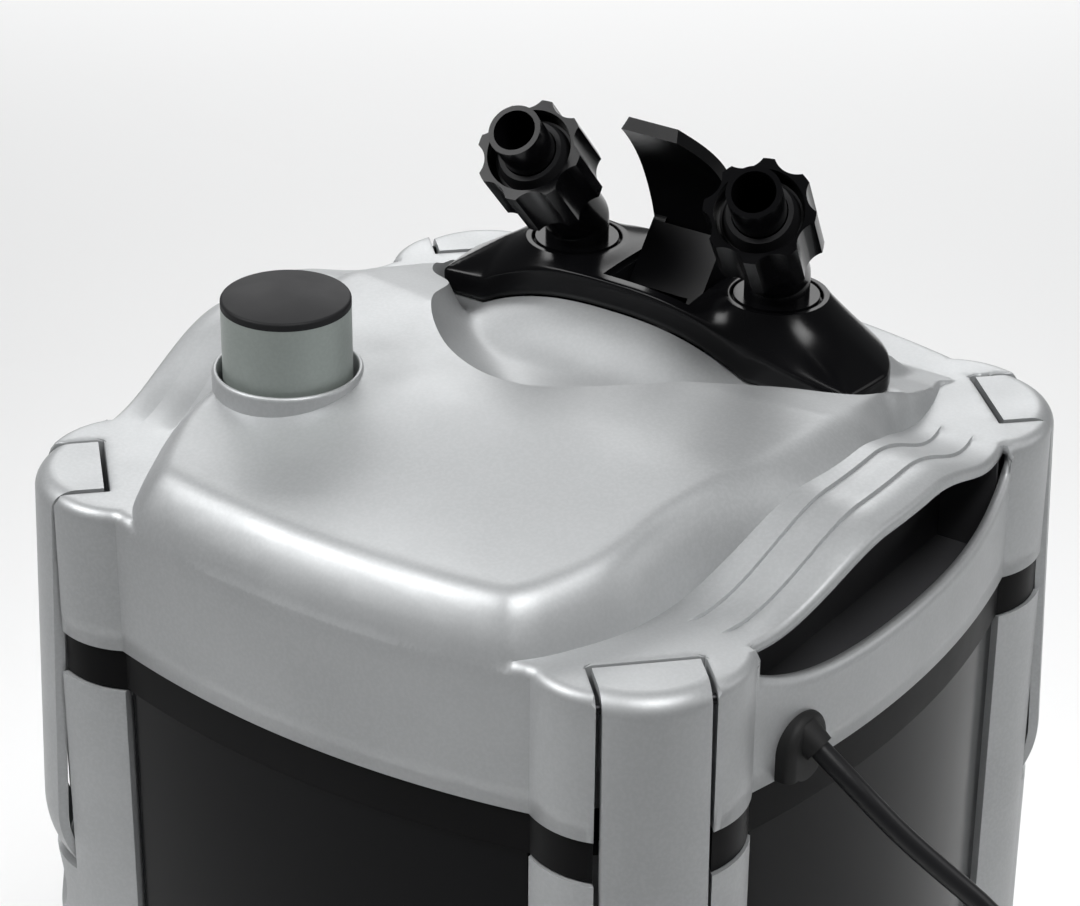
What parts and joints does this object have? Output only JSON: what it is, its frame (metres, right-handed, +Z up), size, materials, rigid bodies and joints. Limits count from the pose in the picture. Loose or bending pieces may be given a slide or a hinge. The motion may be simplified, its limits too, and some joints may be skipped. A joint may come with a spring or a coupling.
{
  "type": "canister filter",
  "caption": "Square canister filter for an aquarium: silver latched pump head with a priming knob and two swivelling hose elbows, on a smoky canister with media baskets inside.",
  "frame": {"origin": "on the floor, at the middle of the base", "axes": "+Z up; the wide blank face beside the priming knob faces -Y; the mains cord leaves on +X"},
  "size_m": [0.3276, 0.2907, 0.4547],
  "materials": {
    "satin_silver": "satin metallic silver",
    "black_satin": "satin black",
    "black_gloss": "glossy black",
    "black_matte": "matte black",
    "smoky_gloss": "glossy smoky dark grey",
    "knob_grey": "satin grey-green",
    "grey_plastic": "satin mid grey",
    "clear_grey": "smooth grey",
    "rubber_black": "matte rubber",
    "steel": "bright steel",
    "lamination": "dark steel",
    "copper": "enamelled copper",
    "ferrite": "dark ferrite",
    "ceramic": "matte off-white ceramic",
    "sponge_blue": "open foam",
    "sponge_white": "fine foam"
  },
  "bodies": {
    "housing": {"head_cover": "satin_silver", "corner_column_front_right": "satin_silver", "corner_column_rear_right": "satin_silver", "corner_column_rear_left": "satin_silver", "corner_column_front_left": "satin_silver", "handle_liner_right": "black_satin", "handle_liner_left": "black_satin", "head_base": "black_satin", "canister_body": "smoky_gloss", "base_tray": "black_satin", "rubber_feet": "rubber_black", "rim_seal": "rubber_black", "media_basket_lower": "grey_plastic", "media_basket_middle": "grey_plastic", "media_basket_upper": "grey_plastic", "coarse_sponge": "sponge_blue", "fine_sponge": "sponge_white", "ceramic_rings": "ceramic", "bio_balls": "black_matte", "riser_pipe": "clear_grey", "motor_case": "grey_plastic", "stator_core": "lamination", "stator_coil": "copper", "pump_volute": "grey_plastic", "ceramic_shaft": "ceramic", "shaft_bushes": "rubber_black", "motor_screws": "steel", "hose_sockets": "grey_plastic", "primer_barrel": "grey_plastic", "primer_spring": "steel", "latch_hinge_pins": "steel", "cord_gland": "rubber_black", "cord_tube": "rubber_black", "cord_coil": "rubber_black", "cord_tail": "rubber_black", "plug_body": "rubber_black", "plug_pins": "steel"},
    "rotor": {"rotor_magnet": "ferrite", "impeller": "grey_plastic"},
    "primer": {"primer_sleeve": "knob_grey", "primer_cap": "black_matte", "primer_piston": "grey_plastic", "piston_ring": "rubber_black"},
    "adapter": {"hose_adapter": "black_gloss", "spigot_o_rings": "rubber_black"},
    "lever": {"release_lever": "black_gloss"},
    "elbow_left": {"elbow_left": "black_gloss"},
    "elbow_right": {"elbow_right": "black_gloss"},
    "ring_left": {"grip_ring_left": "grey_plastic"},
    "ring_right": {"grip_ring_right": "grey_plastic"},
    "nut_left": {"hose_nut_left": "black_gloss"},
    "nut_right": {"hose_nut_right": "black_gloss"},
    "latch_front_right": {"latch_front_right": "satin_silver"},
    "hook_front_right": {"latch_hook_front_right": "grey_plastic"},
    "latch_rear_right": {"latch_rear_right": "satin_silver"},
    "hook_rear_right": {"latch_hook_rear_right": "grey_plastic"},
    "latch_rear_left": {"latch_rear_left": "satin_silver"},
    "hook_rear_left": {"latch_hook_rear_left": "grey_plastic"},
    "latch_front_left": {"latch_front_left": "satin_silver"},
    "hook_front_left": {"latch_hook_front_left": "grey_plastic"}
  },
  "joints": [
    {"name": "rotor_spin", "type": "hinge", "parent": "housing", "child": "rotor", "pos_m": [0.02, -0.035, 0.34], "axis": [0, 0, 1], "continuous": true},
    {"name": "primer_press", "type": "slide", "parent": "housing", "child": "primer", "axis": [0, 0, -1], "range_m": [0, 0.019], "stiffness_N_per_m": 300, "springref_m": -0.004, "deforming": ["primer_spring"]},
    {"name": "adapter_lift", "type": "slide", "parent": "housing", "child": "adapter", "axis": [0, 0, 1], "range_m": [0, 0.04]},
    {"name": "lever_tilt", "type": "hinge", "parent": "adapter", "child": "lever", "pos_m": [0, 0.058, 0.387], "axis": [1, 0, 0], "range_deg": [0, 60]},
    {"name": "elbow_left_swivel", "type": "hinge", "parent": "adapter", "child": "elbow_left", "pos_m": [-0.0355, 0.0626, 0.39], "axis": [0, 0, 1], "range_deg": [-100, 3]},
    {"name": "ring_left_travel", "type": "slide", "parent": "elbow_left", "child": "ring_left", "axis": [0.0922, -0.691, 0.7169], "range_m": [0, 0.006]},
    {"name": "nut_left_turn", "type": "hinge", "parent": "ring_left", "child": "nut_left", "pos_m": [-0.03218, 0.03772, 0.43231], "axis": [0.0922, -0.691, 0.7169], "range_deg": [0, 740]},
    {"name": "elbow_right_swivel", "type": "hinge", "parent": "adapter", "child": "elbow_right", "pos_m": [0.0355, 0.0626, 0.39], "axis": [0, 0, 1], "range_deg": [-25, 100]},
    {"name": "ring_right_travel", "type": "slide", "parent": "elbow_right", "child": "ring_right", "axis": [0.235, -0.6564, 0.7169], "range_m": [0, 0.006]},
    {"name": "nut_right_turn", "type": "hinge", "parent": "ring_right", "child": "nut_right", "pos_m": [0.04396, 0.03897, 0.43231], "axis": [0.235, -0.6564, 0.7169], "range_deg": [0, 740]},
    {"name": "latch_front_right_swing", "type": "hinge", "parent": "housing", "child": "latch_front_right", "pos_m": [0.10041, -0.10041, 0.365], "axis": [-0.7071, -0.7071, 0], "range_deg": [0, 65]},
    {"name": "hook_front_right_swing", "type": "hinge", "parent": "latch_front_right", "child": "hook_front_right", "pos_m": [0.10041, -0.10041, 0.35], "axis": [-0.7071, -0.7071, 0], "range_deg": [-65, 0]},
    {"name": "latch_rear_right_swing", "type": "hinge", "parent": "housing", "child": "latch_rear_right", "pos_m": [0.10041, 0.10041, 0.365], "axis": [0.7071, -0.7071, 0], "range_deg": [0, 65]},
    {"name": "hook_rear_right_swing", "type": "hinge", "parent": "latch_rear_right", "child": "hook_rear_right", "pos_m": [0.10041, 0.10041, 0.35], "axis": [0.7071, -0.7071, 0], "range_deg": [-65, 0]},
    {"name": "latch_rear_left_swing", "type": "hinge", "parent": "housing", "child": "latch_rear_left", "pos_m": [-0.10041, 0.10041, 0.365], "axis": [0.7071, 0.7071, 0], "range_deg": [0, 65]},
    {"name": "hook_rear_left_swing", "type": "hinge", "parent": "latch_rear_left", "child": "hook_rear_left", "pos_m": [-0.10041, 0.10041, 0.35], "axis": [0.7071, 0.7071, 0], "range_deg": [-65, 0]},
    {"name": "latch_front_left_swing", "type": "hinge", "parent": "housing", "child": "latch_front_left", "pos_m": [-0.10041, -0.10041, 0.365], "axis": [-0.7071, 0.7071, 0], "range_deg": [0, 65]},
    {"name": "hook_front_left_swing", "type": "hinge", "parent": "latch_front_left", "child": "hook_front_left", "pos_m": [-0.10041, -0.10041, 0.35], "axis": [-0.7071, 0.7071, 0], "range_deg": [-65, 0]}
  ],
  "couplings": [
    {"joint": "nut_left_turn", "follows": "ring_left_travel", "rad_per_m": 2094},
    {"joint": "nut_right_turn", "follows": "ring_right_travel", "rad_per_m": 2094},
    {"joint": "hook_front_right_swing", "follows": "latch_front_right_swing", "ratio": -1},
    {"joint": "hook_rear_right_swing", "follows": "latch_rear_right_swing", "ratio": -1},
    {"joint": "hook_rear_left_swing", "follows": "latch_rear_left_swing", "ratio": -1},
    {"joint": "hook_front_left_swing", "follows": "latch_front_left_swing", "ratio": -1}
  ]
}
